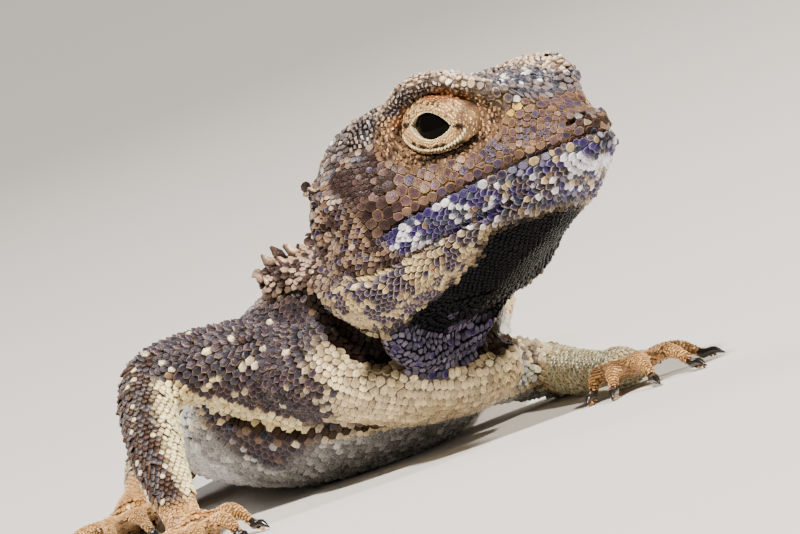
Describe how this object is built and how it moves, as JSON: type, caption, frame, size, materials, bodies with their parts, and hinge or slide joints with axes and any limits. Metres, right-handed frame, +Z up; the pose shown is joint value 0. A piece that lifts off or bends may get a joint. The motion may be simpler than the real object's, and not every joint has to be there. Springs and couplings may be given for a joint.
{
  "type": "pale agama",
  "caption": "Whole pale agama lizard at life size, resting on its belly with head raised and turned, chest propped on bent arms.",
  "frame": {"origin": "middle of the bounding box, at the level that the animal rests on", "axes": "+Y runs from the snout to the tail tip, +X to the animal's left, +Z up"},
  "size_m": [0.045, 0.1798, 0.0235],
  "materials": {
    "skin_head": "dry scaly skin, slightly glossy",
    "skin_body": "dry scaly skin",
    "skin_limbs": "dry scaly skin",
    "claw": "dark horn, glossy",
    "eye": "wet and glossy"
  },
  "bodies": {
    "root": {"head": "skin_head", "neck": "skin_head", "torso_front": "skin_body", "torso_rear": "skin_body", "tail_1": "skin_body", "tail_2": "skin_body", "tail_3": "skin_body", "tail_4": "skin_body", "upper_arm_right": "skin_limbs", "forearm_right": "skin_limbs", "hand_right": "skin_limbs", "thigh_right": "skin_limbs", "shank_right": "skin_limbs", "foot_right": "skin_limbs", "upper_arm_left": "skin_limbs", "forearm_left": "skin_limbs", "hand_left": "skin_limbs", "thigh_left": "skin_limbs", "shank_left": "skin_limbs", "foot_left": "skin_limbs", "eye_right": "eye", "eye_left": "eye"}
  },
  "joints": []
}
